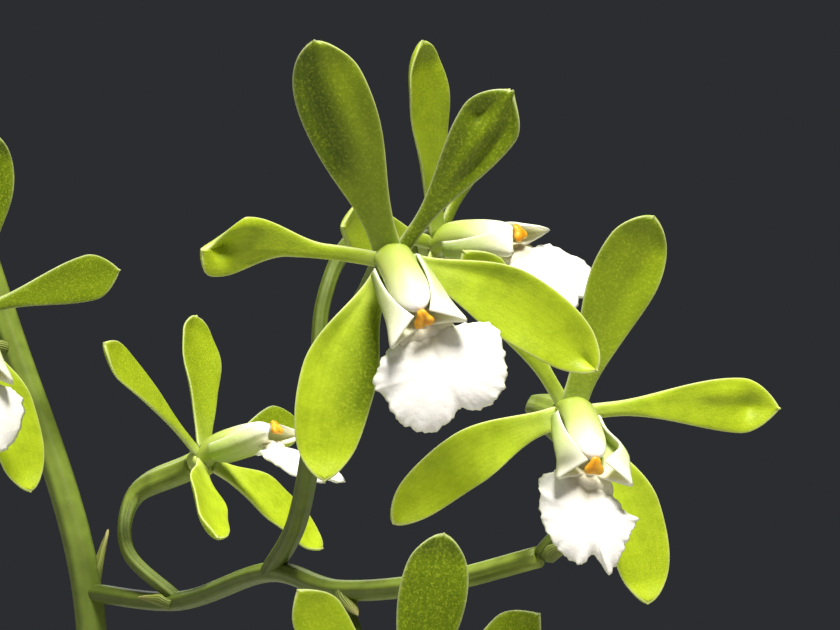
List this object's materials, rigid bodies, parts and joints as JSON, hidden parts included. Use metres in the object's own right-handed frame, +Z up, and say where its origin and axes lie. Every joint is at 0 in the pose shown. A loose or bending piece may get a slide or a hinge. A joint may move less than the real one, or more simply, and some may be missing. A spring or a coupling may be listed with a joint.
{
  "type": "potted encyclia isochila orchid",
  "caption": "Orchid in a round clay pot of bark: pseudobulbs with arching strap leaves and a slender branched stem of green flowers with white lips.",
  "frame": {"origin": "middle of the pot's foot, on the surface that it stands on", "axes": "+Z up along the pot's axis; -Y towards the side that the two nearest flowers face"},
  "size_m": [0.2502, 0.2426, 0.3389],
  "materials": {
    "terracotta": "matt",
    "bark": "rough",
    "rhizome": "matt",
    "pseudobulb": "satin",
    "leaf": "satin",
    "stem": "satin",
    "tepal": "satin",
    "lip": "satin",
    "column": "waxy",
    "bud": "satin"
  },
  "bodies": {
    "root": {"bark": "bark", "bud_1": "bud", "bud_2": "bud", "bud_3": "bud", "bud_4": "bud", "flower_1_column": "column", "flower_1_lip": "lip", "flower_1_tepals": "tepal", "flower_2_column": "column", "flower_2_lip": "lip", "flower_2_tepals": "tepal", "flower_3_column": "column", "flower_3_lip": "lip", "flower_3_tepals": "tepal", "flower_4_column": "column", "flower_4_lip": "lip", "flower_4_tepals": "tepal", "flower_5_column": "column", "flower_5_lip": "lip", "flower_5_tepals": "tepal", "flower_6_column": "column", "flower_6_lip": "lip", "flower_6_tepals": "tepal", "flower_7_column": "column", "flower_7_lip": "lip", "flower_7_tepals": "tepal", "flower_8_column": "column", "flower_8_lip": "lip", "flower_8_tepals": "tepal", "flower_9_column": "column", "flower_9_lip": "lip", "flower_9_tepals": "tepal", "flower_stem": "stem", "leaf_1": "leaf", "leaf_2": "leaf", "leaf_3": "leaf", "leaf_4": "leaf", "leaf_5": "leaf", "leaf_6": "leaf", "leaf_7": "leaf", "leaf_8": "leaf", "leaf_9": "leaf", "pot": "terracotta", "pseudobulb_1": "pseudobulb", "pseudobulb_2": "pseudobulb", "pseudobulb_3": "pseudobulb", "pseudobulb_4": "pseudobulb", "pseudobulb_5": "pseudobulb", "pseudobulb_6": "pseudobulb", "rhizome_and_roots": "rhizome"}
  },
  "joints": []
}
